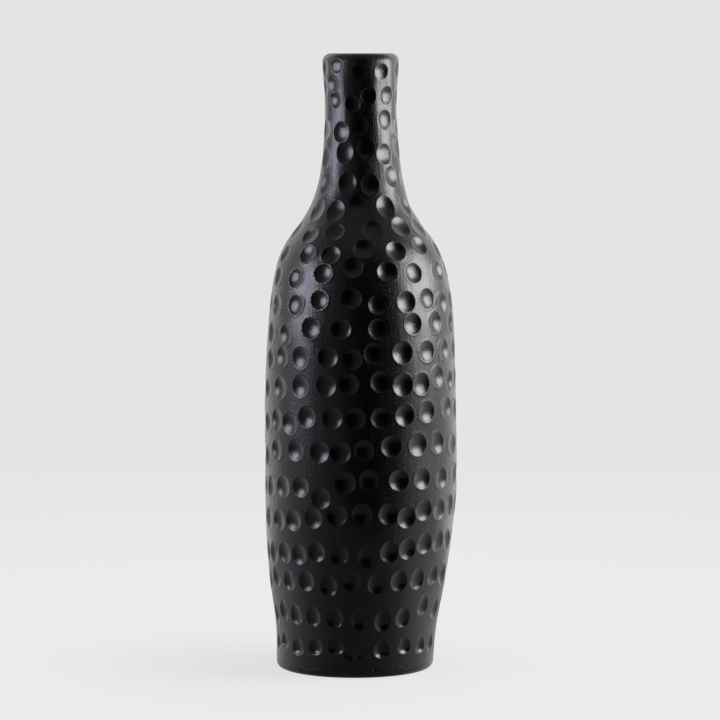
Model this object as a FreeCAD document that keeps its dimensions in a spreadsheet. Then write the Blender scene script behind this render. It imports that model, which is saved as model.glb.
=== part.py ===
"""Black clay bottle pot, built up from six clay members and dimpled all over by hand.

Millimetres, +Z up. The origin is on the ground, on the axis of the belly.
Azimuth 0 is the front of the pot, towards -Y, and grows towards +X.
"""
import FreeCAD, Part
import math
import os
import random
from FreeCAD import Vector

# Driving dimensions: alias, value in mm, what it is.
DIMENSIONS = (
    ("GroundLevel", 0.0, "height of the ground the pot stands on"),
    ("PotHeight", 310.0, "foot to lip"),
    ("FootRadius", 39.6, "outer radius at the ground, before rounding"),
    ("FloorRadius", 33.8, "inner radius at the floor, before rounding"),
    ("StandRadius", 40.8, "outer radius of the near straight stand"),
    ("RiseRadius", 43.3, "outer radius where the wall starts to swell"),
    ("FlareRadius", 45.5, "outer radius half way up the swell"),
    ("HipRadius", 48.2, "outer radius at the top of the swell"),
    ("BellyRadius", 48.4, "outer radius at the widest place"),
    ("ChestRadius", 47.8, "outer radius above the widest place"),
    ("BreastRadius", 46.6, "outer radius where the wall leans in"),
    ("CrestRadius", 43.5, "outer radius at the crest of the shoulder"),
    ("ShoulderRadius", 36.8, "outer radius on the shoulder"),
    ("SlopeRadius", 28.2, "outer radius at the steepest place of the shoulder"),
    ("NapeRadius", 22.8, "outer radius at the root of the neck"),
    ("ThroatRadius", 19.6, "outer radius low on the neck"),
    ("NeckRadius", 18.1, "outer radius at the thinnest place of the neck"),
    ("CollarRadius", 18.2, "outer radius high on the neck"),
    ("LipRadius", 19.0, "outer radius of the lip"),
    ("StandLevel", 22.0, "height of StandRadius"),
    ("RiseLevel", 38.0, "height of RiseRadius"),
    ("FlareLevel", 54.0, "height of FlareRadius"),
    ("HipLevel", 90.0, "height of HipRadius"),
    ("BellyLevel", 118.0, "height of BellyRadius"),
    ("ChestLevel", 150.0, "height of ChestRadius"),
    ("BreastLevel", 175.0, "height of BreastRadius"),
    ("CrestLevel", 199.0, "height of CrestRadius"),
    ("ShoulderLevel", 216.0, "height of ShoulderRadius"),
    ("SlopeLevel", 228.0, "height of SlopeRadius"),
    ("NapeLevel", 240.0, "height of NapeRadius"),
    ("ThroatLevel", 256.0, "height of ThroatRadius"),
    ("NeckLevel", 276.0, "height of NeckRadius"),
    ("CollarLevel", 292.0, "height of CollarRadius"),
    ("LipLevel", 304.0, "height of LipRadius"),
    ("WallThickness", 6.0, "wall of the body, measured level"),
    ("ShoulderExtra", 0.7, "how much thicker the sloping shoulder is, measured level"),
    ("FloorThickness", 6.0, "base slab"),
    ("BoreRadius", 12.5, "straight bore of the neck and mouth"),
    ("BoreStart", 262.0, "height where the bore becomes straight"),
    ("FootRounding", 3.0, "rounding under the foot"),
    ("FloorRounding", 4.0, "rounding inside, between floor and wall"),
    ("LipRounding", 4.0, "outer rounding of the lip"),
    ("MouthRounding", 2.0, "inner rounding of the lip"),
    ("FootLean", 3.0, "how far the foot stands to -X of the belly's axis"),
    ("LeanLevel", 90.0, "height above which the pot is straight"),
    ("BellyJoin", 104.0, "height of the join between lower and upper wall"),
    ("ShoulderJoin", 195.0, "height of the join between upper wall and shoulder"),
    ("NeckJoin", 240.0, "height of the join between shoulder and neck"),
    ("LipJoin", 296.0, "height of the join between neck and lip coil"),
    ("DimpleWidth", 10.8, "width of a full dimple"),
    ("DimpleNarrowing", 1.4, "how much narrower the dimples are at the ground"),
    ("DimpleDepth", 1.5, "depth of a dimple"),
    ("ScarWidth", 6.0, "width of the one slipped, shallow dimple"),
    ("ScarDepth", 0.6, "depth of that dimple"),
)

# The outside and the hollow, as level rings: name, level, radius. Cells or sums of cells.
OUTER_RINGS = (
    ("foot", "GroundLevel", "FootRadius"),
    ("stand", "StandLevel", "StandRadius"),
    ("rise", "RiseLevel", "RiseRadius"),
    ("flare", "FlareLevel", "FlareRadius"),
    ("hip", "HipLevel", "HipRadius"),
    ("belly", "BellyLevel", "BellyRadius"),
    ("chest", "ChestLevel", "ChestRadius"),
    ("breast", "BreastLevel", "BreastRadius"),
    ("crest", "CrestLevel", "CrestRadius"),
    ("shoulder", "ShoulderLevel", "ShoulderRadius"),
    ("slope", "SlopeLevel", "SlopeRadius"),
    ("nape", "NapeLevel", "NapeRadius"),
    ("throat", "ThroatLevel", "ThroatRadius"),
    ("neck", "NeckLevel", "NeckRadius"),
    ("collar", "CollarLevel", "CollarRadius"),
    ("lip", "LipLevel", "LipRadius"),
    ("mouth", "PotHeight", "LipRadius"),
)
HOLLOW_RINGS = (
    ("floor", "FloorThickness", "FloorRadius"),
    ("stand", "StandLevel", "StandRadius - WallThickness"),
    ("rise", "RiseLevel", "RiseRadius - WallThickness"),
    ("flare", "FlareLevel", "FlareRadius - WallThickness"),
    ("hip", "HipLevel", "HipRadius - WallThickness"),
    ("belly", "BellyLevel", "BellyRadius - WallThickness"),
    ("chest", "ChestLevel", "ChestRadius - WallThickness"),
    ("breast", "BreastLevel", "BreastRadius - WallThickness"),
    ("crest", "CrestLevel", "CrestRadius - WallThickness - ShoulderExtra"),
    ("shoulder", "ShoulderLevel", "ShoulderRadius - WallThickness - ShoulderExtra"),
    ("slope", "SlopeLevel", "SlopeRadius - WallThickness - ShoulderExtra"),
    ("nape", "NapeLevel", "NapeRadius - WallThickness - ShoulderExtra / 2"),
    ("throat", "ThroatLevel", "ThroatRadius - WallThickness"),
    ("bore", "BoreStart", "BoreRadius"),
)

# The clay members from the ground up: node, level of its underside, level of its top.
MEMBERS = (
    ("base_slab", "GroundLevel", "FloorThickness"),
    ("lower_wall", "FloorThickness", "BellyJoin"),
    ("upper_wall", "BellyJoin", "ShoulderJoin"),
    ("shoulder", "ShoulderJoin", "NeckJoin"),
    ("neck_collar", "NeckJoin", "LipJoin"),
    ("lip_coil", "LipJoin", "PotHeight"),
)

# The front dimples, pressed one by one, row by row from the lip down:
# each is (azimuth in degrees, height in mm).
FRONT_DIMPLES = (
    ((-71, 303), (-40, 304), (0, 301), (34, 301), (71, 302)),
    ((-49, 295), (-45, 287), (-12, 285), (12, 289), (46, 289), (78, 288)),
    ((-69, 272), (-33, 271), (0, 274), (42, 277), (75, 273)),
    ((-61, 258), (-25, 261), (7, 263), (39, 260), (73, 263)),
    ((-53, 245), (-18, 246), (12, 245), (48, 249), (82, 247)),
    ((-56, 232), (-29, 232), (-2, 235), (30, 234), (62, 234)),
    ((-48, 220), (-23, 222), (10, 223), (40, 224), (65, 223)),
    ((-70, 210), (-42, 211), (-22, 211), (2, 214), (27, 213), (51, 215), (76, 212)),
    ((-70, 199), (-48, 199), (-26, 202), (-5, 205), (18, 203), (38, 202), (63, 202)),
    ((-65, 185), (-45, 186), (-27, 189), (-6, 190), (11, 187), (30, 188), (47, 189), (62, 186), (77, 187)),
    ((-71, 171), (-52, 171), (-32, 175), (-12, 175), (11, 175), (34, 177), (53, 177), (73, 176)),
    ((-70, 158), (-55, 160), (-39, 160), (-20, 161), (-5, 160), (8, 163), (26, 163), (44, 163), (61, 163),
     (78, 163)),
    ((-74, 143), (-57, 144), (-39, 146), (-21, 147), (-7, 148), (12, 149), (26, 147), (39, 147), (53, 150),
     (67, 147), (81, 148)),
    ((-73, 126), (-60, 128), (-47, 127), (-34, 131), (-17, 131), (-3, 131), (12, 131), (27, 132), (43, 133),
     (62, 134), (77, 132)),
    ((-74, 109), (-60, 113), (-42, 114), (-25, 114), (-12, 114), (2, 115), (18, 117), (36, 117), (52, 117),
     (70, 115)),
    ((-82, 93), (-68, 94), (-53, 95), (-38, 96), (-24, 91), (-9, 99), (5, 100), (23, 100), (39, 100),
     (56, 99), (74, 100)),
    ((-72, 78), (-58, 78), (-44, 79), (-29, 81), (-14, 83), (1, 83), (17, 83), (29, 81), (41, 84), (55, 83),
     (69, 84)),
    ((-66, 61), (-53, 62), (-40, 62), (-27, 64), (-12, 63), (5, 62), (19, 64), (31, 65), (44, 67), (57, 67),
     (71, 66)),
    ((-80, 45), (-65, 49), (-50, 48), (-35, 49), (-19, 47), (-4, 50), (12, 48), (27, 49), (41, 49), (56, 50),
     (70, 49)),
    ((-74, 29), (-60, 32), (-46, 31), (-31, 31), (-15, 31), (2, 30), (18, 29), (33, 30), (50, 35), (67, 32)),
    ((-76, 13), (-62, 15), (-46, 13), (-30, 14), (-14, 15), (19, 13), (37, 14), (53, 13), (68, 13)),
)
SCAR = (-1, 12)
BACK_SEED = 5
BACK_AZIMUTH_WANDER = 1.5
BACK_HEIGHT_WANDER = 1.3

CAP_LATITUDE = 30.0   # where a pressing tool's ball is cut off, in degrees above its equator
POLE_LATITUDE = 90.0
FULL_TURN = 360.0
CUBIC = 3             # degree of the lofts through the rings
LEVEL_TOLERANCE = 0.01
SIZE_TOLERANCE = 0.1
LINE_STEP = 1e-6      # how closely a height is found along the wall's line
REACH = 100.0         # longer than any radius of the pot


def make_sheet(doc):
    """Write the driving dimensions into the document's spreadsheet."""
    sheet = doc.addObject("Spreadsheet::Sheet", "Dims")
    for row, (alias, value, meaning) in enumerate(DIMENSIONS, start=1):
        sheet.set(f"A{row}", meaning)
        sheet.set(f"B{row}", str(value))
        sheet.setAlias(f"B{row}", alias)
    doc.recompute()
    return sheet


def in_sheet(formula):
    """Turn a sum of cell aliases into an expression on the sheet."""
    words = formula.split()
    return " ".join("Dims." + word if word[0].isalpha() else word for word in words)


def lean_formula(level):
    """The expression for the sideways place of the axis at a level."""
    return f"-Dims.FootLean * max(0; 1 - ({in_sheet(level)}) / Dims.LeanLevel)"


def lean(sheet, height):
    """How far to +X the axis stands at a height."""
    return -sheet.FootLean * max(0.0, 1.0 - height / sheet.LeanLevel)


def level_ring(doc, name, level, radius):
    """A level circle round the leaning axis."""
    ring = doc.addObject("Part::Circle", name)
    ring.setExpression("Radius", in_sheet(radius))
    ring.setExpression("Placement.Base.x", lean_formula(level))
    ring.setExpression("Placement.Base.z", in_sheet(level))
    return ring


def loft_rings(doc, name, rings):
    """One smooth solid through the rings, from the lowest to the highest."""
    loft = doc.addObject("Part::Loft", name)
    loft.Sections = [level_ring(doc, f"{name}_{ring}", level, radius) for ring, level, radius in rings]
    loft.Solid = True
    loft.MaxDegree = CUBIC
    doc.recompute()
    return loft


def edge_at(shape, height, radius):
    """The number of the round edge of a radius that lies level at a height."""
    for number, edge in enumerate(shape.Edges, start=1):
        at_height = all(abs(vertex.Z - height) < LEVEL_TOLERANCE for vertex in edge.Vertexes)
        is_level = edge.BoundBox.ZLength < SIZE_TOLERANCE
        is_as_wide = abs(edge.Length / (2 * math.pi) - radius) < SIZE_TOLERANCE
        if at_height and is_level and is_as_wide:
            return number
    raise RuntimeError(f"no level edge at {height}")


def round_edges(doc, name, base, edges):
    """Round level edges, each given as (height, edge's radius, rounding)."""
    rounded = doc.addObject("Part::Fillet", name)
    rounded.Base = base
    rounded.Edges = [(edge_at(base.Shape, height, radius), size, size) for height, radius, size in edges]
    doc.recompute()
    return rounded


def make_outer_form(doc, sheet):
    """The outside of the whole pot as one solid, foot and lip rounded."""
    loft = loft_rings(doc, "OuterLoft", OUTER_RINGS)
    foot = (sheet.GroundLevel, sheet.FootRadius, sheet.FootRounding)
    lip = (sheet.PotHeight, sheet.LipRadius, sheet.LipRounding)
    return round_edges(doc, "OuterForm", loft, [foot, lip])


def make_hollow_form(doc, sheet):
    """The hollow of the pot as one solid: the inside of the body, then the straight bore."""
    loft = loft_rings(doc, "HollowLoft", HOLLOW_RINGS)
    corner = (sheet.FloorThickness, sheet.FloorRadius, sheet.FloorRounding)
    inside = round_edges(doc, "BodyHollow", loft, [corner])
    bore = doc.addObject("Part::Cylinder", "StraightBore")
    bore.setExpression("Radius", in_sheet("BoreRadius"))
    bore.setExpression("Height", in_sheet("PotHeight - BoreStart"))
    bore.setExpression("Placement.Base.z", in_sheet("BoreStart"))
    hollow = doc.addObject("Part::Fuse", "Hollow")
    hollow.Base = inside
    hollow.Tool = bore
    return hollow


def make_plain_pot(doc, sheet):
    """The undimpled pot: outside less hollow, with the inner edge of the mouth rounded."""
    shell = doc.addObject("Part::Cut", "Shell")
    shell.Base = make_outer_form(doc, sheet)
    shell.Tool = make_hollow_form(doc, sheet)
    doc.recompute()
    rim = (sheet.PotHeight, sheet.BoreRadius, sheet.MouthRounding)
    return round_edges(doc, "PlainPot", shell, [rim])


def make_slice(doc, pot, name, low, high):
    """The stretch of the pot between two levels."""
    box = doc.addObject("Part::Box", f"{name}_box")
    box.Length = 2 * REACH
    box.Width = 2 * REACH
    box.setExpression("Height", f"({in_sheet(high)}) - ({in_sheet(low)})")
    box.Placement.Base = Vector(-REACH, -REACH, 0)
    box.setExpression("Placement.Base.z", in_sheet(low))
    piece = doc.addObject("Part::Common", f"{name}_plain")
    piece.Base = pot
    piece.Tool = box
    return piece


def back_of_row(row, chance):
    """Carry a row of dimples on round the back, evenly but for the hand's small wander."""
    first, last = row[0], row[-1]
    pitch = (last[0] - first[0]) / (len(row) - 1)
    gap = FULL_TURN - (last[0] - first[0])
    count = round(gap / pitch)
    dimples = []
    for step in range(1, count):
        share = step / count
        azimuth = last[0] + gap * share + chance.uniform(-1, 1) * BACK_AZIMUTH_WANDER
        height = last[1] + (first[1] - last[1]) * share + chance.uniform(-1, 1) * BACK_HEIGHT_WANDER
        dimples.append((azimuth, height))
    return dimples


def all_dimples():
    """Every dimple as (azimuth, height), the front ones and the back ones."""
    chance = random.Random(BACK_SEED)
    dimples = []
    for row in FRONT_DIMPLES:
        dimples.extend(row)
        dimples.extend(back_of_row(row, chance))
    return dimples


def outward(azimuth):
    """The level unit vector at an azimuth in degrees."""
    turn = math.radians(azimuth)
    return Vector(math.sin(turn), -math.cos(turn), 0)


def side_line(form):
    """The meridian of the pot's side, from the foot to the lip."""
    side = max(form.Faces, key=lambda face: face.Area).Surface
    return side.uIso(side.bounds()[0])


def wall_place(line, sheet, azimuth, height):
    """The point on the wall and the wall's outward direction there."""
    low, high = line.FirstParameter, line.LastParameter
    while high - low > LINE_STEP:
        middle = (low + high) / 2
        if line.value(middle).z < height:
            low = middle
        else:
            high = middle
    radius, slope = radius_and_slope(line, sheet, low)
    point = Vector(lean(sheet, height), 0, height) + outward(azimuth) * radius
    normal = outward(azimuth) - Vector(0, 0, slope)
    return point, normal.normalize()


def radius_and_slope(line, sheet, place):
    """The wall's distance from the leaning axis at a place on its line, and its growth with height."""
    here = line.value(place)
    ahead = line.value(place + LINE_STEP)
    radius = math.hypot(here.x - lean(sheet, here.z), here.y)
    radius_ahead = math.hypot(ahead.x - lean(sheet, ahead.z), ahead.y)
    return radius, (radius_ahead - radius) / (ahead.z - here.z)


def ball_cap(radius, depth, point, normal):
    """The part of a ball that presses a round dimple of a depth into the wall at a point."""
    centre = point + normal * (radius - depth)
    return Part.makeSphere(radius, centre, normal * -1, CAP_LATITUDE, POLE_LATITUDE, FULL_TURN)


def press_radius(width, depth):
    """The radius of the ball that leaves a dimple of this width and depth."""
    return ((width / 2) ** 2 + depth ** 2) / (2 * depth)


def press_tool(line, sheet, azimuth, height):
    """The tool that presses one dimple."""
    point, normal = wall_place(line, sheet, azimuth, height)
    lowness = max(0.0, 1.0 - height / sheet.LeanLevel)
    width = sheet.DimpleWidth - sheet.DimpleNarrowing * lowness
    radius = press_radius(width, sheet.DimpleDepth)
    return ball_cap(radius, sheet.DimpleDepth, point, normal)


def scar_tool(line, sheet):
    """The tool of the one slipped dimple by the foot."""
    point, normal = wall_place(line, sheet, *SCAR)
    return ball_cap(press_radius(sheet.ScarWidth, sheet.ScarDepth), sheet.ScarDepth, point, normal)


def make_press_tools(doc, name, tools, low, high):
    """Join the tools that touch a stretch of the wall into one cutting shape."""
    near = [tool for tool in tools if tool.BoundBox.ZMax > low and tool.BoundBox.ZMin < high]
    if not near:
        return None
    cutter = doc.addObject("Part::Feature", f"{name}_dimples")
    cutter.Shape = near[0].fuse(near[1:])
    return cutter


def make_member(doc, sheet, pot, tools, name, low, high):
    """One clay member with its dimples, labelled with its node's name."""
    piece = make_slice(doc, pot, name, low, high)
    cutter = make_press_tools(doc, name, tools, sheet.get(low), sheet.get(high))
    if cutter is not None:
        plain = piece
        piece = doc.addObject("Part::Cut", f"{name}_pressed")
        piece.Base = plain
        piece.Tool = cutter
        piece.Refine = False
    piece.Label = name
    return piece


def check_document(doc, members):
    """Stop if any object failed or any member isn't one sound solid."""
    for thing in doc.Objects:
        if "Invalid" in thing.State or "Error" in thing.State:
            raise RuntimeError(f"{thing.Name} failed: {thing.State}")
    for member in members:
        shape = member.Shape
        if shape.isNull() or not shape.isValid() or len(shape.Solids) != 1:
            raise RuntimeError(f"{member.Label} is not one valid solid")
        print(member.Label, "volume", round(shape.Volume), "faces", len(shape.Faces))


def main():
    doc = FreeCAD.newDocument("black_clay_pot")
    sheet = make_sheet(doc)
    pot = make_plain_pot(doc, sheet)
    line = side_line(doc.getObject("OuterForm").Shape)
    tools = [press_tool(line, sheet, *dimple) for dimple in all_dimples()]
    tools.append(scar_tool(line, sheet))
    members = [make_member(doc, sheet, pot, tools, *member) for member in MEMBERS]
    doc.recompute()
    check_document(doc, members)
    os.makedirs("parts", exist_ok=True)
    for member in members:
        member.Shape.exportStep(f"parts/{member.Label}.step")


main()
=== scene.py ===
import math
import random

import bpy
import numpy as np
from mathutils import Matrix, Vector


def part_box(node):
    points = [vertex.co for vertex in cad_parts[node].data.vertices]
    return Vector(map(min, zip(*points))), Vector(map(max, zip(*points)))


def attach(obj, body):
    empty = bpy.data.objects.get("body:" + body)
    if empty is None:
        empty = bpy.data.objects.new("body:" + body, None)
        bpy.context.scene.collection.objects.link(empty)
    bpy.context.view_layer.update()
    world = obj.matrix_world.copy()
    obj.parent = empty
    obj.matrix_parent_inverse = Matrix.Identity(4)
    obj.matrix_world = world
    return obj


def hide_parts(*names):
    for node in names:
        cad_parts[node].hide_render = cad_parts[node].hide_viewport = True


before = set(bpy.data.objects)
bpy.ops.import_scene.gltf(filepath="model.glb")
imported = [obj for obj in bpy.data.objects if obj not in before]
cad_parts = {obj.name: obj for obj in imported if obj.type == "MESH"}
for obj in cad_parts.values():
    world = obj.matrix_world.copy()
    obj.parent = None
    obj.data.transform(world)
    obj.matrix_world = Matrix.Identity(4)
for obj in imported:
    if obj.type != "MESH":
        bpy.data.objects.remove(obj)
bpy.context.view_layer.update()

# A black clay bottle pot, built of six clay members, pressed all over with round dimples and burnished.
# The pot's shape is worked out in millimetres and degrees; MM turns it into Blender's metres. The clay's
# texture, the room and the camera are in metres.
# Azimuth 0 is the front of the pot, towards -Y, and grows towards +X.
MM = 0.001
BODY = "root"
MEMBERS = ("base_slab", "lower_wall", "upper_wall", "shoulder", "neck_collar", "lip_coil")

# The outside and the hollow: (height, radius) from the ground up. Above the last one the bore is straight.
OUTSIDE = ((0, 39.6), (22, 40.8), (38, 43.3), (54, 45.5), (90, 48.2), (118, 48.4), (150, 47.8), (175, 46.6),
           (199, 43.5), (216, 36.8), (228, 28.2), (240, 22.8), (256, 19.6), (276, 18.1), (292, 18.2),
           (304, 19.0), (310, 19.0))
HOLLOW = ((6, 33.8), (22, 34.8), (38, 37.3), (54, 39.5), (90, 42.2), (118, 42.4), (150, 41.8), (175, 40.6),
          (199, 36.8), (216, 30.1), (228, 21.5), (240, 16.45), (256, 13.6), (262, 12.5))
BORE_RADIUS = 12.5
FOOT_ROUNDING = 3.0
FLOOR_ROUNDING = 4.0
LIP_ROUNDING = 4.0
MOUTH_ROUNDING = 2.0
FOOT_LEAN = 3.0         # how far the foot stands to -X of the belly's axis
LEAN_LEVEL = 90.0       # the pot is straight above this height

# The front dimples, pressed one by one, row by row from the lip down: each is (azimuth, height).
FRONT_DIMPLES = (
    ((-71, 303), (-40, 304), (0, 301), (34, 301), (71, 302)),
    ((-49, 295), (-45, 287), (-12, 285), (12, 289), (46, 289), (78, 288)),
    ((-69, 272), (-33, 271), (0, 274), (42, 277), (75, 273)),
    ((-61, 258), (-25, 261), (7, 263), (39, 260), (73, 263)),
    ((-53, 245), (-18, 246), (12, 245), (48, 249), (82, 247)),
    ((-56, 232), (-29, 232), (-2, 235), (30, 234), (62, 234)),
    ((-48, 220), (-23, 222), (10, 223), (40, 224), (65, 223)),
    ((-70, 210), (-42, 211), (-22, 211), (2, 214), (27, 213), (51, 215), (76, 212)),
    ((-70, 199), (-48, 199), (-26, 202), (-5, 205), (18, 203), (38, 202), (63, 202)),
    ((-65, 185), (-45, 186), (-27, 189), (-6, 190), (11, 187), (30, 188), (47, 189), (62, 186), (77, 187)),
    ((-71, 171), (-52, 171), (-32, 175), (-12, 175), (11, 175), (34, 177), (53, 177), (73, 176)),
    ((-70, 158), (-55, 160), (-39, 160), (-20, 161), (-5, 160), (8, 163), (26, 163), (44, 163), (61, 163),
     (78, 163)),
    ((-74, 143), (-57, 144), (-39, 146), (-21, 147), (-7, 148), (12, 149), (26, 147), (39, 147), (53, 150),
     (67, 147), (81, 148)),
    ((-73, 126), (-60, 128), (-47, 127), (-34, 131), (-17, 131), (-3, 131), (12, 131), (27, 132), (43, 133),
     (62, 134), (77, 132)),
    ((-74, 109), (-60, 113), (-42, 114), (-25, 114), (-12, 114), (2, 115), (18, 117), (36, 117), (52, 117),
     (70, 115)),
    ((-82, 93), (-68, 94), (-53, 95), (-38, 96), (-24, 91), (-9, 99), (5, 100), (23, 100), (39, 100),
     (56, 99), (74, 100)),
    ((-72, 78), (-58, 78), (-44, 79), (-29, 81), (-14, 83), (1, 83), (17, 83), (29, 81), (41, 84), (55, 83),
     (69, 84)),
    ((-66, 61), (-53, 62), (-40, 62), (-27, 64), (-12, 63), (5, 62), (19, 64), (31, 65), (44, 67), (57, 67),
     (71, 66)),
    ((-80, 45), (-65, 49), (-50, 48), (-35, 49), (-19, 47), (-4, 50), (12, 48), (27, 49), (41, 49), (56, 50),
     (70, 49)),
    ((-74, 29), (-60, 32), (-46, 31), (-31, 31), (-15, 31), (2, 30), (18, 29), (33, 30), (50, 35), (67, 32)),
    ((-76, 13), (-62, 15), (-46, 13), (-30, 14), (-14, 15), (19, 13), (37, 14), (53, 13), (68, 13)),
)
# The slipped press by the foot: three small presses that overlap, and one short nick beside them, each
# (azimuth, height, size, depth), where size and depth are shares of a full dimple's.
SCAR = ((-6.5, 12.9, 0.44, 0.50), (-3, 12.4, 0.60, 0.62), (3, 12.2, 0.42, 0.45), (14.3, 4.6, 0.26, 0.40))
BACK_SEED = 5
BACK_AZIMUTH_WANDER = 1.5
BACK_HEIGHT_WANDER = 1.3

# A dimple: half its width and height, and its depth. Near the ground the dimples are narrow and egg-shaped,
# with the wide end down.
DIMPLE_HALF_WIDTH = 5.75
DIMPLE_HALF_HEIGHT = 5.4
DIMPLE_DEPTH = 1.38
LOW_NARROWING = 1.85    # taken off the half width at the ground
LOW_DROP = 1.4          # how far below its middle a dimple at the ground is deepest
NECK_DIMPLE_LEVEL = 216     # the dimples above this height are wider, shorter and shallower
NECK_DIMPLE_WIDTH = 1.07
NECK_DIMPLE_HEIGHT = 0.94
NECK_DIMPLE_DEPTH = 0.82
LIP_DIMPLE_LEVEL = 283  # the dimples above this height are smaller
LIP_DIMPLE_SIZE = 0.86
FOOT_DIMPLE_LEVEL = 20  # the dimples below this height are shorter, their lower ends higher
FOOT_DIMPLE_RISE = 1.3
SMALLEST_DIMPLE = 0.8   # a press smaller than this share of a dimple is a nick, and isn't shortened there
SIZE_SPREAD = (0.96, 1.04)      # the hand's unevenness, as shares of a dimple's size and depth
DEPTH_SPREAD = (0.9, 1.08)
PRESS_SEED = 11
TOOL_REACH = 2.5        # how far past a dimple's edge the tool's shape is looked at
TOOL_LIMIT = 1.3        # the tool is a ball up to this many half widths from its middle, and a cone beyond
SLOPE_STEP = 0.5        # half the height over which the wall's slope is taken

# A dimple's rim: its slope, its rounding, and the clay pushed up beside it.
RIM_SLOPE = 0.55
RIM_SOFTNESS = (0.05, 0.16)
BURR_HEIGHT = (0.0, 0.08)
BURR_WIDTH = 1.5
BURR_FREE_DEPTH = 0.3   # no clay is pushed up where another dimple is deeper than this
BURR_RIPPLES = (1, 2, 3, 5)     # the numbers of waves along a rim, added together
SMOOTH_BURR = 0.4       # how much of its burr a rim keeps where it was burnished
# The patches whose rims were burnished less: azimuth, height, reach in each, extra burr, raggedness.
ROUGH_PATCHES = ((-35, 193, 24, 28, 0.10, 1.0), (46, 130, 24, 80, 0.11, 0.3),
                 (-68, 140, 16, 140, 0.16, 0.0), (74, 140, 16, 140, 0.16, 0.0))
RAGGED_DEPTH = 0.25     # the ragged strip along a rim, as how far the tool is above or below the wall

# The mesh: columns round the pot, the spacing of its rows, and how its points crowd at a dimple's rim.
COLUMNS = 512
OUTER_STEP = 0.65
INNER_STEP = 4.0
ARC_STEP = 0.55
FACE_STEP = 9.0         # across the flat joins
FOOT_RINGS = (0.3, 0.6, 0.85)   # the rings across the foot, as shares of its radius
FLOOR_RINGS = (1.0, 0.6, 0.3)   # and those across the floor inside
LINE_SAMPLES = 400      # heights at which a wall's length is measured
CROWDING = 0.7
CROWDING_WIDTH = 0.7
LEAST_STEEPNESS = 0.2   # of a press at its rim, so that a far point isn't drawn too far
SKIN_AGREEMENT = 0.3    # a face whose normal agrees less than this with the skin's is a flat one

# The hand's low waves in the wall: how many are added up, about how high they are then, how many times each
# repeats round the pot, and how long it is upwards. Below WAVE_START they fade out towards the ground.
WAVE_COUNT = 14
WAVE_HEIGHT = 0.20
WAVES_ROUND = (1, 9)
WAVE_LENGTH = (25, 110)
WAVE_START = 12
WAVE_SEED = 3


def cubic_through(points):
    """A natural cubic through (place, value) points, as a function of an array of places."""
    places, values = np.array(points, float).T
    steps = np.diff(places)
    slopes = np.diff(values) / steps
    count = len(places)
    matrix = np.eye(count)
    right = np.zeros(count)
    for row in range(1, count - 1):
        matrix[row, row - 1:row + 2] = steps[row - 1], 2 * (steps[row - 1] + steps[row]), steps[row]
        right[row] = 6 * (slopes[row] - slopes[row - 1])
    bends = np.linalg.solve(matrix, right)

    def value_at(where):
        at = np.clip(np.searchsorted(places, where) - 1, 0, count - 2)
        step = steps[at]
        past = (where - places[at]) / step
        left = 1 - past
        curve = (left ** 3 - left) * bends[at] + (past ** 3 - past) * bends[at + 1]
        return left * values[at] + past * values[at + 1] + curve * step ** 2 / 6

    return value_at


outside_radius = cubic_through(OUTSIDE)
hollow_curve = cubic_through(HOLLOW)


def hollow_radius(height):
    """The inner radius at a height: the curve of the hollow, then the straight bore."""
    return np.where(height < HOLLOW[-1][0], hollow_curve(height), BORE_RADIUS)


def lean(height):
    """How far to +X the pot's axis stands at a height."""
    return -FOOT_LEAN * np.maximum(0, 1 - height / LEAN_LEVEL)


def arc(centre, radius, start, end):
    """Points along an arc in the (radius, height) plane, angles from level outwards."""
    count = max(2, round(abs(math.radians(end - start)) * radius / ARC_STEP))
    angles = np.radians(np.linspace(start, end, count + 1))
    return np.column_stack((centre[0] + radius * np.cos(angles), centre[1] + radius * np.sin(angles)))


def wall_line(radius_at, low, high, step):
    """Points up a wall between two heights, evenly spaced along it, as (radius, height)."""
    heights = np.linspace(low, high, LINE_SAMPLES)
    radii = radius_at(heights)
    along = np.concatenate(([0], np.cumsum(np.hypot(np.diff(radii), np.diff(heights)))))
    count = max(1, round(along[-1] / step))
    even = np.interp(np.linspace(0, along[-1], count + 1), along, heights)
    return np.column_stack((radius_at(even), even))


def chain(parts):
    """Join runs of points whose ends meet."""
    return np.vstack([parts[0]] + [part[1:] for part in parts[1:]])


def joins():
    """The heights of the members' joins, from the ground to the lip, as the frame has them."""
    tops = [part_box(node)[1][2] / MM for node in MEMBERS]
    return [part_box(MEMBERS[0])[0][2] / MM] + tops


def outer_line(levels):
    """The pot's outside, from the edge of the foot's flat up and over the lip into the mouth."""
    foot_radius = float(outside_radius(np.array(FOOT_ROUNDING)))
    lip_start = levels[-1] - LIP_ROUNDING
    lip_radius = float(outside_radius(np.array(lip_start)))
    bends = [FOOT_ROUNDING] + levels[1:-1] + [lip_start]
    parts = [arc((foot_radius - FOOT_ROUNDING, FOOT_ROUNDING), FOOT_ROUNDING, -90, 0)]
    parts += [wall_line(outside_radius, low, high, OUTER_STEP) for low, high in zip(bends, bends[1:])]
    parts.append(arc((lip_radius - LIP_ROUNDING, lip_start), LIP_ROUNDING, 0, 90))
    mouth = arc((BORE_RADIUS + MOUTH_ROUNDING, levels[-1] - MOUTH_ROUNDING), MOUTH_ROUNDING, 90, 180)
    return np.vstack((chain(parts), mouth))


def inner_line(levels):
    """The hollow, from the mouth's rounding down to the edge of the floor's flat."""
    floor = levels[1]
    corner = floor + FLOOR_ROUNDING
    corner_radius = float(hollow_radius(np.array(corner)))
    stops = [corner] + levels[2:-1] + [levels[-1] - MOUTH_ROUNDING]
    walls = [wall_line(hollow_radius, low, high, INNER_STEP) for low, high in zip(stops, stops[1:])]
    bend = arc((corner_radius - FLOOR_ROUNDING, corner), FLOOR_ROUNDING, -90, 0)
    return chain([bend] + walls)[::-1]


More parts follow.
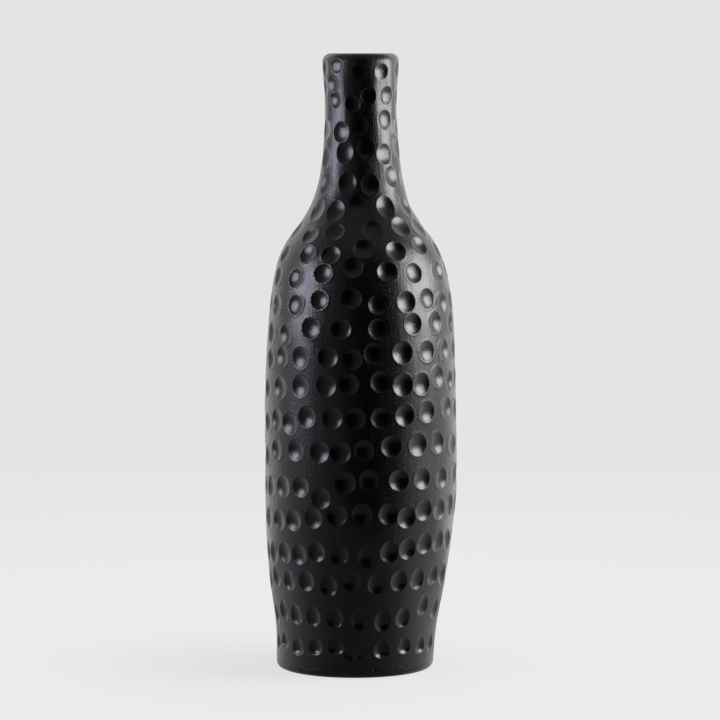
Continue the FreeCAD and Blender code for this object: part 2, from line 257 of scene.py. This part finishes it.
def back_of_row(row, chance):
    """Carry a row of dimples on round the back, evenly but for the hand's small wander."""
    first, last = row[0], row[-1]
    pitch = (last[0] - first[0]) / (len(row) - 1)
    gap = 360.0 - (last[0] - first[0])
    count = round(gap / pitch)
    dimples = []
    for step in range(1, count):
        share = step / count
        azimuth = last[0] + gap * share + chance.uniform(-1, 1) * BACK_AZIMUTH_WANDER
        height = last[1] + (first[1] - last[1]) * share + chance.uniform(-1, 1) * BACK_HEIGHT_WANDER
        dimples.append((azimuth, height))
    return dimples


def all_dimples():
    """Every dimple as (azimuth, height), the front ones and the back ones."""
    chance = random.Random(BACK_SEED)
    dimples = []
    for row in FRONT_DIMPLES:
        dimples.extend(row)
        dimples.extend(back_of_row(row, chance))
    return dimples


class Press:
    """One dimple: where the tool meets the wall, and the shape it leaves."""

    def __init__(self, azimuth, height, chance, size=1.0, depth=1.0):
        turn = math.radians(azimuth)
        radius = float(outside_radius(np.array(float(height))))
        rise = outside_radius(np.array(height + SLOPE_STEP)) - outside_radius(np.array(height - SLOPE_STEP))
        slope = float(rise) / (2 * SLOPE_STEP)
        out = np.array((math.sin(turn), -math.cos(turn), 0))
        self.azimuth = turn
        self.height = height
        self.level = np.array((math.cos(turn), math.sin(turn), 0))
        self.normal = (out - np.array((0, 0, slope))) / math.hypot(1, slope)
        self.up = np.cross(self.normal, self.level)
        self.centre = out * radius + np.array((float(lean(height)), 0, height))
        lowness = max(0.0, 1 - height / LEAN_LEVEL)
        if height > LIP_DIMPLE_LEVEL:
            size *= LIP_DIMPLE_SIZE
            depth *= LIP_DIMPLE_SIZE
        size *= chance.uniform(*SIZE_SPREAD)
        self.depth = DIMPLE_DEPTH * depth * chance.uniform(*DEPTH_SPREAD)
        self.half_width = (DIMPLE_HALF_WIDTH - LOW_NARROWING * lowness) * size
        self.half_height = DIMPLE_HALF_HEIGHT * size
        if height > NECK_DIMPLE_LEVEL:
            self.half_width *= NECK_DIMPLE_WIDTH
            self.half_height *= NECK_DIMPLE_HEIGHT
            self.depth *= NECK_DIMPLE_DEPTH
        if height < FOOT_DIMPLE_LEVEL and size > SMALLEST_DIMPLE:
            self.half_height -= FOOT_DIMPLE_RISE
            self.centre[2] += FOOT_DIMPLE_RISE
        self.drop = LOW_DROP * lowness * size
        self.softness = chance.uniform(*RIM_SOFTNESS)
        self.burr = chance.uniform(*BURR_HEIGHT) * SMOOTH_BURR
        self.raggedness = 0.0
        for middle, level, width, reach, burr, raggedness in ROUGH_PATCHES:
            share = math.exp(-((azimuth - middle) / width) ** 2 - ((height - level) / reach) ** 2)
            self.burr += burr * share
            self.raggedness += raggedness * share
        self.ripples = [(count, chance.uniform(0, 2 * math.pi)) for count in BURR_RIPPLES]
        self.reach = max(self.half_width, self.half_height + self.drop) + TOOL_REACH

    def offsets(self, points):
        """How far points lie along the wall's level and upward directions, and below its tangent plane."""
        away = points - self.centre
        return away @ self.level, away @ self.up, -(away @ self.normal)

    def pressed(self, points):
        """How far the tool goes below the wall at points, negative where it doesn't reach."""
        across, along, below = self.offsets(points)
        along = along + self.drop
        half = np.where(along > 0, self.half_height + self.drop, self.half_height - self.drop)
        spread = np.sqrt((across / self.half_width) ** 2 + (along / half) ** 2)
        ball = (DIMPLE_HALF_WIDTH ** 2 + self.depth ** 2) / (2 * self.depth)
        inside = np.sqrt(ball ** 2 - (np.minimum(spread, TOOL_LIMIT) * DIMPLE_HALF_WIDTH) ** 2)
        beyond = np.maximum(spread - TOOL_LIMIT, 0) * DIMPLE_HALF_WIDTH
        return self.depth - (ball - inside) - beyond - below

    def burr_at(self, points, pressed):
        """The clay pushed up round the rim, uneven along it."""
        across, along, _ = self.offsets(points)
        angle = np.arctan2(along, across)
        ripple = sum(np.cos(count * angle + phase) for count, phase in self.ripples) / len(self.ripples)
        outwards = np.clip(-pressed / RIM_SLOPE / BURR_WIDTH, 0, 1)
        return self.burr * (1 + ripple) * np.sin(math.pi * np.sqrt(outwards)) ** 2


def make_presses():
    """The tools of all the dimples, and of the slipped press by the foot."""
    chance = random.Random(PRESS_SEED)
    presses = [Press(*dimple, chance) for dimple in all_dimples()]
    presses += [Press(azimuth, height, chance, size, depth) for azimuth, height, size, depth in SCAR]
    return presses


def softened(pressed, softness):
    """The press with its rim rounded: zero outside, the press itself inside."""
    blend = (pressed + softness) ** 2 / (4 * softness)
    return np.where(pressed > softness, pressed, np.where(pressed < -softness, 0, blend))


class Skin:
    """A grid of points round the pot: a line of (radius, height) points, turned round the leaning axis."""

    def __init__(self, line):
        self.line = line
        self.along = np.concatenate(([0], np.cumsum(np.hypot(*np.diff(line, axis=0).T))))
        columns = np.arange(COLUMNS) * 2 * math.pi / COLUMNS
        self.turns, self.places = np.meshgrid(columns, self.along)
        self.rim = np.zeros(self.turns.shape)
        self.hollow = np.zeros(self.turns.shape)
        self.points = self.points_at(self.turns, self.places)

    def points_at(self, turns, places):
        """The undimpled points at azimuths and places along the line."""
        radii = np.interp(places, self.along, self.line[:, 0])
        heights = np.interp(places, self.along, self.line[:, 1])
        return np.stack((lean(heights) + radii * np.sin(turns), -radii * np.cos(turns), heights), axis=-1)

    def window(self, press):
        """The rows and columns that a press may touch."""
        side = self.line[:, 0] > BORE_RADIUS + MOUTH_ROUNDING
        near = np.abs(self.line[:, 1] - press.height) < press.reach
        rows = np.nonzero(near & side)[0]
        radius = self.line[rows, 0].min()
        half = math.ceil(press.reach / radius * COLUMNS / (2 * math.pi))
        middle = round(press.azimuth / (2 * math.pi) * COLUMNS)
        columns = np.arange(middle - half, middle + half + 1) % COLUMNS
        return np.ix_(rows, columns)

    def crowd(self, presses):
        """Draw the grid's points together at the dimples' rims, so that the rims are crisp."""
        turn_shift = np.zeros(self.turns.shape)
        place_shift = np.zeros(self.turns.shape)
        strongest = np.zeros(self.turns.shape)
        for press in presses:
            spot = self.window(press)
            pressed = press.pressed(self.points[spot])
            radii = np.interp(self.places[spot], self.along, self.line[:, 0])
            by_turn = np.gradient(pressed, 2 * math.pi / COLUMNS, axis=1) / radii
            by_place = np.gradient(pressed, self.places[spot][:, 0], axis=0)
            steepness = np.maximum(np.hypot(by_turn, by_place), LEAST_STEEPNESS)
            distance = pressed / steepness
            pull = CROWDING * np.exp(-(distance / CROWDING_WIDTH) ** 2)
            stronger = pull > strongest[spot]
            shift = -distance * pull / steepness
            turn_shift[spot] = np.where(stronger, shift * by_turn / radii, turn_shift[spot])
            place_shift[spot] = np.where(stronger, shift * by_place, place_shift[spot])
            strongest[spot] = np.maximum(pull, strongest[spot])
        self.turns = self.turns + turn_shift
        self.places = np.clip(self.places + place_shift, 0, self.along[-1])
        self.points = self.points_at(self.turns, self.places)

    def press_in(self, presses):
        """Press every dimple into the grid, each along its own direction."""
        depth = np.zeros(self.turns.shape)
        burr = np.zeros(self.turns.shape)
        ways = np.zeros(self.points.shape)
        for press in presses:
            spot = self.window(press)
            points = self.points[spot]
            pressed = press.pressed(points)
            soft = softened(pressed, press.softness)
            deeper = soft > depth[spot]
            ways[spot] = np.where(deeper[..., None], press.normal, ways[spot])
            depth[spot] = np.maximum(soft, depth[spot])
            burr[spot] = np.maximum(press.burr_at(points, pressed), burr[spot])
            closeness = np.exp(-(pressed / RAGGED_DEPTH) ** 2) * press.raggedness
            self.rim[spot] = np.maximum(closeness, self.rim[spot])
        self.hollow = np.clip(depth / DIMPLE_DEPTH, 0, 1)
        burr = np.where(depth > BURR_FREE_DEPTH, 0, burr)
        self.points = self.points + burr[..., None] * self.normals() - depth[..., None] * ways

    def wave(self):
        """Add the low waves that a hand leaves in a wall."""
        chance = random.Random(WAVE_SEED)
        heights = self.points[..., 2]
        wave = np.zeros(self.turns.shape)
        for _ in range(WAVE_COUNT):
            round_count = chance.randint(*WAVES_ROUND)
            length = chance.uniform(*WAVE_LENGTH)
            phase = chance.uniform(0, 2 * math.pi)
            skew = chance.choice((-1, 1))
            wave += np.cos(round_count * self.turns + skew * 2 * math.pi * heights / length + phase)
        share = np.clip(heights / WAVE_START, 0, 1) * WAVE_HEIGHT / math.sqrt(WAVE_COUNT)
        out = np.stack((np.sin(self.turns), -np.cos(self.turns), np.zeros(self.turns.shape)), axis=-1)
        self.points = self.points + (wave * share)[..., None] * out

    def normals(self):
        """The outward normals of the grid's points."""
        around = np.roll(self.points, -1, axis=1) - np.roll(self.points, 1, axis=1)
        up = np.gradient(self.points, axis=0)
        normals = np.cross(around, up)
        return normals / np.linalg.norm(normals, axis=-1, keepdims=True)

    def row_at(self, height):
        """The number of the row at a join's height."""
        return int(np.argmin(np.abs(self.line[:, 1] - height)))


def flat_rings(start, end):
    """Rings between two rings of points, across a flat face, ends left out."""
    gap = np.linalg.norm(start - end, axis=-1).mean()
    count = max(1, round(gap / FACE_STEP))
    return [start + (end - start) * step / count for step in range(1, count)]


def shrunk(ring, shares):
    """Copies of a flat ring, each drawn in towards its middle to a share of its size."""
    middle = ring.mean(axis=0)
    return [middle + (ring - middle) * share for share in shares]


def grid_faces(first, second):
    """Quads between two rings of vertex numbers."""
    ring = np.arange(COLUMNS)
    after = (ring + 1) % COLUMNS
    return np.column_stack((first + ring, first + after, second + after, second + ring))


def add_object(name, data):
    """Put an object into the scene."""
    item = bpy.data.objects.new(name, data)
    bpy.context.collection.objects.link(item)
    return item


class Member:
    """Gathers one clay member's rings into a closed mesh."""

    def __init__(self, name):
        self.name = name
        self.rings = []
        self.ring_normals = []
        self.rims = []
        self.hollows = []

    def add_skin(self, skin, first, last):
        """Add a run of a skin's rows."""
        normals = skin.normals()
        for row in range(first, last + 1):
            self.rings.append(skin.points[row])
            self.ring_normals.append(normals[row])
            self.rims.append(skin.rim[row])
            self.hollows.append(skin.hollow[row])

    def add_flat(self, rings):
        """Add rings that lie in a flat face."""
        for ring in rings:
            self.rings.append(ring)
            self.ring_normals.append(np.zeros(ring.shape))
            self.rims.append(np.zeros(COLUMNS))
            self.hollows.append(np.zeros(COLUMNS))

    def fan(self, ring_number, centre_number, faces_down):
        """Triangles from a ring to a centre point."""
        ring = np.arange(COLUMNS)
        after = (ring + 1) % COLUMNS
        centre = np.full(COLUMNS, centre_number)
        pair = (after, ring) if faces_down else (ring, after)
        return np.column_stack((ring_number * COLUMNS + pair[0], ring_number * COLUMNS + pair[1], centre))

    def make(self, material, closed):
        """Build the piece. Closed, its last ring joins its first; open, both are filled to their middles."""
        points = np.vstack(self.rings)
        count = len(self.rings)
        quads = [grid_faces(row * COLUMNS, (row + 1) * COLUMNS) for row in range(count - 1)]
        faces = []
        if closed:
            quads.append(grid_faces((count - 1) * COLUMNS, 0))
        else:
            middle = [ring.mean(axis=0) for ring in (self.rings[0], self.rings[-1])]
            points = np.vstack([points] + middle)
            faces += self.fan(0, count * COLUMNS, True).tolist()
            faces += self.fan(count - 1, count * COLUMNS + 1, False).tolist()
        faces = np.vstack(quads).tolist() + faces
        mesh = bpy.data.meshes.new(self.name + "_clay")
        mesh.from_pydata((points * MM).tolist(), [], faces)
        self.set_normals(mesh)
        self.set_attribute(mesh, "rim", self.rims)
        self.set_attribute(mesh, "hollow", self.hollows)
        mesh.materials.append(material)
        piece = add_object(self.name + "_clay", mesh)
        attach(piece, BODY)
        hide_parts(self.name)

    def set_normals(self, mesh):
        """Give the skin its own normals, so that the members meet without a seam; flat faces stay flat."""
        normals = np.zeros((len(mesh.vertices), 3))
        rings = np.vstack(self.ring_normals)
        normals[:len(rings)] = rings
        corners = np.empty(len(mesh.loops), dtype=np.int32)
        mesh.loops.foreach_get("vertex_index", corners)
        starts = np.empty(len(mesh.polygons), dtype=np.int32)
        sizes = np.empty(len(mesh.polygons), dtype=np.int32)
        mesh.polygons.foreach_get("loop_start", starts)
        mesh.polygons.foreach_get("loop_total", sizes)
        face_of_corner = np.repeat(np.arange(len(sizes)), sizes)
        wanted = normals[corners]
        face_normals = np.empty(len(mesh.polygons) * 3)
        mesh.polygons.foreach_get("normal", face_normals)
        face_normals = face_normals.reshape(-1, 3)
        agreement = np.einsum("ij,ij->i", wanted, face_normals[face_of_corner])
        lowest = np.minimum.reduceat(agreement, starts)
        flat = lowest < SKIN_AGREEMENT
        wanted = np.where(flat[face_of_corner][:, None], face_normals[face_of_corner], wanted)
        mesh.polygons.foreach_set("use_smooth", np.ones(len(sizes), dtype=bool))
        mesh.normals_split_custom_set(wanted.tolist())

    def set_attribute(self, mesh, name, rings):
        """Store one number for each vertex, for the material."""
        values = np.zeros(len(mesh.vertices))
        flat = np.concatenate(rings)
        values[:len(flat)] = flat
        mesh.attributes.new(name, "FLOAT", "POINT").data.foreach_set("value", values)


def make_base(levels, outer, inner, material):
    """The disc of clay: its flat foot, the skin round its edge, its join with the wall, and the floor."""
    member = Member(MEMBERS[0])
    last = outer.row_at(levels[1])
    member.add_flat(shrunk(outer.points[0], FOOT_RINGS))
    member.add_skin(outer, 0, last)
    member.add_flat(flat_rings(outer.points[last], inner.points[-1]))
    member.add_flat(shrunk(inner.points[-1], FLOOR_RINGS))
    member.make(material, closed=False)


def make_wall(number, levels, outer, inner, material):
    """A ring of clay: up its outside, in over its upper join or the lip, down its inside, and out again."""
    member = Member(MEMBERS[number])
    first = outer.row_at(levels[number])
    inner_last = inner.row_at(levels[number])
    if number == len(MEMBERS) - 1:
        member.add_skin(outer, first, len(outer.line) - 1)
        member.add_skin(inner, 1, inner_last)
    else:
        last = outer.row_at(levels[number + 1])
        inner_first = inner.row_at(levels[number + 1])
        member.add_skin(outer, first, last)
        member.add_flat(flat_rings(outer.points[last], inner.points[inner_first]))
        member.add_skin(inner, inner_first, inner_last)
    member.add_flat(flat_rings(inner.points[inner_last], outer.points[first]))
    member.make(material, closed=True)


def build_pot(material):
    """The six clay members, dimpled and closed."""
    levels = joins()
    outer = Skin(outer_line(levels))
    inner = Skin(inner_line(levels))
    presses = make_presses()
    outer.crowd(presses)
    outer.press_in(presses)
    outer.wave()
    make_base(levels, outer, inner, material)
    for number in range(1, len(MEMBERS)):
        make_wall(number, levels, outer, inner, material)


class Nodes:
    """Short forms for making shader nodes."""

    def __init__(self, tree):
        self.tree = tree
        self.tree.nodes.clear()

    def add(self, kind, inputs=(), **settings):
        """A node with its settings and its inputs, each a value or another node's output."""
        node = self.tree.nodes.new(kind)
        for name, value in settings.items():
            setattr(node, name, value)
        for name, value in dict(inputs).items():
            if isinstance(value, bpy.types.NodeSocket):
                self.tree.links.new(value, node.inputs[name])
            else:
                node.inputs[name].default_value = value
        return node

    def math(self, operation, *values):
        """The result of an operation on one to three numbers."""
        return self.add("ShaderNodeMath", enumerate(values), operation=operation).outputs[0]

    def smooth(self, value, start, end, low=0.0, high=1.0):
        """A smooth step of a value, from low at start to high at end."""
        inputs = {"Value": value, "From Min": start, "From Max": end, "To Min": low, "To Max": high}
        return self.add("ShaderNodeMapRange", inputs, interpolation_type="SMOOTHSTEP").outputs["Result"]

    def scaled(self, vector, scale):
        """A vector stretched by three factors."""
        return self.add("ShaderNodeMapping", {"Vector": vector, "Scale": scale}).outputs[0]

    def noise(self, vector, scale, detail):
        """Soft noise from 0 to 1."""
        inputs = {"Vector": vector, "Scale": scale, "Detail": detail}
        return self.add("ShaderNodeTexNoise", inputs).outputs[0]

    def spots(self, vector, scale):
        """How far each place is from the nearest of many scattered spots."""
        return self.add("ShaderNodeTexVoronoi", {"Vector": vector, "Scale": scale}).outputs["Distance"]

    def mixed_number(self, share, first, second):
        """A number between two others."""
        return self.add("ShaderNodeMix", {0: share, 2: first, 3: second}).outputs[0]

    def mixed_colour(self, share, first, second):
        """A colour between two others."""
        return self.add("ShaderNodeMix", {0: share, 6: first, 7: second}, data_type="RGBA").outputs[2]

    def around(self, x, y, stops):
        """Light by the azimuth of a level direction, between (azimuth, light) stops."""
        turn = self.math("ARCTAN2", x, self.math("MULTIPLY", y, -1.0))
        node = self.add("ShaderNodeValToRGB", {0: self.math("MULTIPLY_ADD", turn, 0.5 / math.pi, 0.5)})
        elements = node.color_ramp.elements
        for azimuth, _ in stops[1:-1]:
            elements.new(azimuth / 360 + 0.5)
        for element, (azimuth, light) in zip(elements, stops):
            shade = light / BRIGHTEST_STOP
            element.position = azimuth / 360 + 0.5
            element.color = (shade, shade, shade, 1)
        return self.math("MULTIPLY", node.outputs[0], BRIGHTEST_STOP)

    def bump(self, height, distance, strength, below=None):
        """A bump of a height in metres, over another bump."""
        inputs = {"Height": height, "Distance": distance, "Strength": strength}
        if below is not None:
            inputs["Normal"] = below
        return self.add("ShaderNodeBump", inputs).outputs[0]


def new_material(name):
    """An empty material, and the short forms for making its nodes."""
    material = bpy.data.materials.new(name)
    material.use_nodes = True
    return material, Nodes(material.node_tree)


# The burnished clay: its colours, and its roughness with what is added to it or taken off.
CLAY_COLOUR = (0.0008, 0.0010, 0.0015, 1)
DUSTY_COLOUR = (0.003, 0.0032, 0.004, 1)
# A painted highlight: the beads along a ragged rim are coloured pale, standing in for the soft boxes' glint
# on the ridges.
PAINTED_RIM_HIGHLIGHT_COLOUR = (0.42, 0.40, 0.44, 1)     # the beads along a ragged rim
DUST_SHARE = 0.5
CLAY_IOR = 1.5
CLAY_ROUGHNESS = 0.20
PATCH_ROUGHNESS = 0.10
STREAK_ROUGHNESS = 0.04
SPECK_ROUGHNESS = 0.2
HOLLOW_POLISH = 0.08    # how much smoother the clay is where the tool pressed it

# Its textures: (how many to the metre, detail), and the scales that draw some out upwards or flatten them.
STREAKS = (900.0, 3.0)
FACETS = (170.0, 1.0)
PATCHES = (60.0, 3.0)
GRAIN = (1500.0, 2.0)
BEADS = (1100.0, 1.0)
CHIPS = (300.0, 5.0)
PIT_CLUSTERS = (330.0, 0.0)
SPECK_COUNT = 1100.0
PIT_COUNT = 420.0
STREAK_STRETCH = (1.0, 1.0, 0.07)
FACET_STRETCH = (1.0, 1.0, 0.12)
CHIP_STRETCH = (1.0, 1.0, 1.6)
CHIP_LEVELS = (0.012, 0.003)    # the foot is whole above the first height and most chipped below the second

# The stretch of a texture's value, or of a dimple's depth as a share, over which a mark fades in.
WALL_STEP = (0.02, 0.3)     # over this one the wall's own marks fade out into a dimple
POLISH_STEP = (0.1, 0.6)
SPECK_STEP = (0.40, 0.15)
SPECK_PATCH_STEP = (0.35, 0.65)
PIT_STEP = (0.10, 0.22)     # from a pit's middle out to its edge
PIT_CLUSTER_STEP = (0.52, 0.60)
CHIP_STEP = (0.48, 0.66)
DUST_STEP = (0.30, 0.45)
# The painted highlight on the rim beads fades in over this one.
PAINTED_RIM_HIGHLIGHT_STEP = (0.28, 0.50)

# Its relief: (height in metres, strength).
FACET_RELIEF = (0.00025, 0.6)
STREAK_RELIEF = (0.00018, 0.5)
GRAIN_RELIEF = (0.00010, 0.7)
PIT_RELIEF = (0.00006, 0.6)
BEAD_RELIEF = (0.0004, 0.8)
CHIP_RELIEF = (0.00013, 0.7)


def make_clay():
    """Black burnished clay: upright burnishing streaks, fine grain, small pits and beaded dimple rims, with
    a painted highlight on the beads.
    """
    material, nodes = new_material("burnished_black_clay")
    place = nodes.add("ShaderNodeTexCoord").outputs["Object"]
    rim = nodes.add("ShaderNodeAttribute", attribute_name="rim").outputs["Fac"]
    hollow = nodes.add("ShaderNodeAttribute", attribute_name="hollow").outputs["Fac"]
    wall = nodes.math("SUBTRACT", 1.0, nodes.smooth(hollow, *WALL_STEP))

    streaks = nodes.noise(nodes.scaled(place, STREAK_STRETCH), *STREAKS)
    upright = nodes.math("MULTIPLY", nodes.math("SUBTRACT", streaks, 0.5), wall)
    facets = nodes.noise(nodes.scaled(place, FACET_STRETCH), *FACETS)
    patches = nodes.noise(place, *PATCHES)
    grain = nodes.noise(place, *GRAIN)
    specks = nodes.smooth(nodes.spots(place, SPECK_COUNT), *SPECK_STEP)
    specks = nodes.math("MULTIPLY", specks, nodes.smooth(patches, *SPECK_PATCH_STEP))
    pits = nodes.smooth(nodes.spots(place, PIT_COUNT), *PIT_STEP)
    few = nodes.smooth(nodes.noise(place, *PIT_CLUSTERS), *PIT_CLUSTER_STEP)
    pits = nodes.math("MAXIMUM", pits, nodes.math("SUBTRACT", 1.0, few))
    beads = nodes.math("MULTIPLY", nodes.noise(place, *BEADS), rim)
    height = nodes.add("ShaderNodeSeparateXYZ", {0: place}).outputs[2]
    chips = nodes.smooth(nodes.noise(nodes.scaled(place, CHIP_STRETCH), *CHIPS), *CHIP_STEP)
    chips = nodes.math("MULTIPLY", chips, nodes.smooth(height, *CHIP_LEVELS))

    relief = nodes.bump(facets, *FACET_RELIEF)
    relief = nodes.bump(upright, *STREAK_RELIEF, relief)
    relief = nodes.bump(grain, *GRAIN_RELIEF, relief)
    relief = nodes.bump(pits, *PIT_RELIEF, relief)
    relief = nodes.bump(beads, *BEAD_RELIEF, relief)
    relief = nodes.bump(chips, *CHIP_RELIEF, relief)

    roughness = nodes.math("MULTIPLY_ADD", patches, PATCH_ROUGHNESS, CLAY_ROUGHNESS)
    roughness = nodes.math("MULTIPLY_ADD", upright, STREAK_ROUGHNESS, roughness)
    roughness = nodes.math("MULTIPLY_ADD", nodes.smooth(hollow, *POLISH_STEP), -HOLLOW_POLISH, roughness)
    roughness = nodes.math("MULTIPLY_ADD", nodes.math("MULTIPLY", specks, wall), SPECK_ROUGHNESS, roughness)

    dust = nodes.smooth(nodes.math("MULTIPLY", patches, streaks), *DUST_STEP)
    colour = nodes.mixed_colour(nodes.math("MULTIPLY", dust, DUST_SHARE), CLAY_COLOUR, DUSTY_COLOUR)
    # Painted highlight: the beads along ragged rims turn pale, in place of the glint on their ridges.
    colour = nodes.mixed_colour(nodes.smooth(beads, *PAINTED_RIM_HIGHLIGHT_STEP), colour, PAINTED_RIM_HIGHLIGHT_COLOUR)

    inputs = {"Base Color": colour, "Roughness": roughness, "IOR": CLAY_IOR, "Normal": relief}
    shader = nodes.add("ShaderNodeBsdfPrincipled", inputs)
    nodes.add("ShaderNodeOutputMaterial", {"Surface": shader.outputs[0]})
    return material


# The room: a pale table that fades into a pale backdrop, dark behind the camera, two soft boxes by the pot.
TABLE_LIGHT = 0.835     # how bright the camera sees the table by the pot
BACKDROP_LIGHT = 0.775  # how bright it sees it far away, and the backdrop
TABLE_FADE = (0.12, 1.1)    # the distances from the pot between which the one turns into the other
TABLE_RADIUS = 6.0
TABLE_COLOUR = (0.75, 0.75, 0.75, 1)
TABLE_SHADE = 0.2       # how much of the table by the pot is lit by the lamps, so that it takes a shadow
SHADE_FADE = (0.045, 0.20)  # the distances between which this fades out
MIRRORED_RADIUS = 0.30  # the stretch of table that the pot mirrors; beyond it is the room
MIRRORED_COLOUR = (0.94, 0.95, 1.0, 1)
DISC_CORNERS = 96
WHITE = (1, 1, 1, 1)
CEILING_LIGHT = 0.25
CEILING_RISE = (0.55, 0.9)  # the walls turn into the ceiling between these steepnesses of view
BRIGHTEST_STOP = 4.0    # a ramp holds its lights as shares of this one

# What the pot mirrors, by azimuth: (azimuth, light).
ROOM = ((-180, 0.5), (-150, 1.15), (-130, 1.15), (-108, 0.75), (-87, 0.45), (-71, 0.25), (-57, 0.22),
        (-44, 0.19), (-31, 0.16), (-19, 0.09), (-7, 0.02), (5, 0.005), (29, 0.008), (42, 0.05), (55, 0.26),
        (69, 0.8), (85, 1.05), (108, 1.3), (125, 1.5), (150, 1.4), (180, 0.5))
MIRRORED_TABLE = ((-180, 0.4), (-120, 0.75), (-90, 0.7), (-65, 0.45), (-45, 0.26), (-25, 0.17), (0, 0.15),
                  (20, 0.17), (35, 0.24), (50, 0.45), (70, 0.75), (90, 0.9), (120, 0.85), (180, 0.4))


def add_face(name, points, material):
    """Put one flat face into the scene. It throws no shadow."""
    mesh = bpy.data.meshes.new(name)
    mesh.from_pydata(points, [], [list(range(len(points)))])
    mesh.materials.append(material)
    face = add_object(name, mesh)
    face.visible_shadow = False
    return face


def make_disc(name, radius, material):
    """A round stretch of table round the pot."""
    turns = np.arange(DISC_CORNERS) * 2 * math.pi / DISC_CORNERS
    points = np.column_stack((radius * np.cos(turns), radius * np.sin(turns), np.zeros(DISC_CORNERS)))
    disc = add_face(name, points.tolist(), material)
    return disc


def make_table():
    """The table that the camera sees: it takes the pot's soft shadow and fades into the backdrop."""
    material, nodes = new_material("pale_table")
    place = nodes.add("ShaderNodeTexCoord").outputs["Object"]
    distance = nodes.add("ShaderNodeVectorMath", {0: place}, operation="LENGTH").outputs["Value"]
    light = nodes.smooth(distance, *TABLE_FADE, TABLE_LIGHT, BACKDROP_LIGHT)
    glow = nodes.add("ShaderNodeEmission", {"Strength": light})
    paint = nodes.add("ShaderNodeBsdfDiffuse", {"Color": TABLE_COLOUR})
    share = nodes.smooth(distance, *SHADE_FADE, 1 - TABLE_SHADE, 1.0)
    mix = nodes.add("ShaderNodeMixShader", {0: share, 1: paint.outputs[0], 2: glow.outputs[0]})
    nodes.add("ShaderNodeOutputMaterial", {"Surface": mix.outputs[0]})
    table = make_disc("table", TABLE_RADIUS, material)
    table.visible_glossy = False
    table.visible_diffuse = False


def make_mirrored_table():
    """The table as the pot mirrors it: dim in front, paler at the sides."""
    material, nodes = new_material("mirrored_table")
    place = nodes.add("ShaderNodeTexCoord").outputs["Object"]
    parts = nodes.add("ShaderNodeSeparateXYZ", {0: place}).outputs
    light = nodes.around(parts[0], parts[1], MIRRORED_TABLE)
    glow = nodes.add("ShaderNodeEmission", {"Color": MIRRORED_COLOUR, "Strength": light})
    nodes.add("ShaderNodeOutputMaterial", {"Surface": glow.outputs[0]})
    table = make_disc("mirrored_table", MIRRORED_RADIUS, material)
    table.visible_camera = False
    table.visible_diffuse = False


def make_room():
    """The room that the pot mirrors, and the plain backdrop that the camera sees."""
    world = bpy.data.worlds.new("studio")
    bpy.context.scene.world = world
    world.use_nodes = True
    nodes = Nodes(world.node_tree)
    way = nodes.add("ShaderNodeTexCoord").outputs["Generated"]
    parts = nodes.add("ShaderNodeSeparateXYZ", {0: way}).outputs
    walls = nodes.around(parts[0], parts[1], ROOM)
    room = nodes.mixed_number(nodes.smooth(parts[2], *CEILING_RISE), walls, CEILING_LIGHT)
    seen = nodes.add("ShaderNodeLightPath").outputs["Is Camera Ray"]
    light = nodes.mixed_number(seen, room, BACKDROP_LIGHT)
    glow = nodes.add("ShaderNodeBackground", {"Color": WHITE, "Strength": light})
    nodes.add("ShaderNodeOutputWorld", {"Surface": glow.outputs[0]})


# The soft boxes: name, azimuth, distance, height of the middle, width, height, brightness, colour.
SOFT_BOXES = (
    ("soft_box_right", 82.0, 0.45, 0.33, 0.46, 0.44, 11.5, (1.0, 0.985, 1.0, 1)),
    ("soft_box_left", -77.0, 0.60, 0.33, 0.44, 0.46, 7.6, (0.86, 0.80, 1.0, 1)),
)
FULL_LIGHT = 0.35       # the share of a soft box's half side that is evenly bright
EDGE_LIGHT = 0.12       # the share of its brightness that is left at its edge


def make_soft_box(name, azimuth, distance, middle, width, height, brightness, colour):
    """A soft box beside the pot, hot in the middle and dim at its edges."""
    material, nodes = new_material(name)
    place = nodes.add("ShaderNodeTexCoord").outputs["Object"]
    parts = nodes.add("ShaderNodeSeparateXYZ", {0: place}).outputs
    light = brightness
    for offset, half in ((parts[0], width / 2), (parts[1], height / 2)):
        share = nodes.smooth(nodes.math("ABSOLUTE", offset), half * FULL_LIGHT, half, 1.0, EDGE_LIGHT)
        light = nodes.math("MULTIPLY", share, light)
    glow = nodes.add("ShaderNodeEmission", {"Color": colour, "Strength": light})
    nodes.add("ShaderNodeOutputMaterial", {"Surface": glow.outputs[0]})

    signs = ((-1, -1), (1, -1), (1, 1), (-1, 1))
    corners = [(width / 2 * right, height / 2 * up, 0) for right, up in signs]
    box = add_face(name, corners, material)
    turn = math.radians(azimuth)
    box.location = (distance * math.sin(turn), -distance * math.cos(turn), middle)
    box.rotation_euler = (math.pi / 2, 0, turn)
    box.visible_camera = False


# The camera: its place and what it looks at, in metres, and its lens in millimetres.
CAMERA_DISTANCE = 1.84
CAMERA_HEIGHT = 0.315
AIM_HEIGHT = 0.1558
CAMERA_SIDE = -0.00035
CAMERA_LENS = 183.0
SENSOR_WIDTH = 36.0


def make_camera():
    """The camera, in front of the pot and a little higher than the lip, looking slightly down."""
    data = bpy.data.cameras.new("camera")
    data.lens = CAMERA_LENS
    data.sensor_width = SENSOR_WIDTH
    camera = add_object("camera", data)
    camera.location = (CAMERA_SIDE, -CAMERA_DISTANCE, CAMERA_HEIGHT)
    aim = Vector((CAMERA_SIDE, 0, AIM_HEIGHT)) - camera.location
    camera.rotation_euler = aim.to_track_quat("-Z", "Y").to_euler()
    bpy.context.scene.camera = camera


bpy.context.scene.view_settings.view_transform = "Standard"
build_pot(make_clay())
make_table()
make_mirrored_table()
make_room()
for soft_box in SOFT_BOXES:
    make_soft_box(*soft_box)
make_camera()
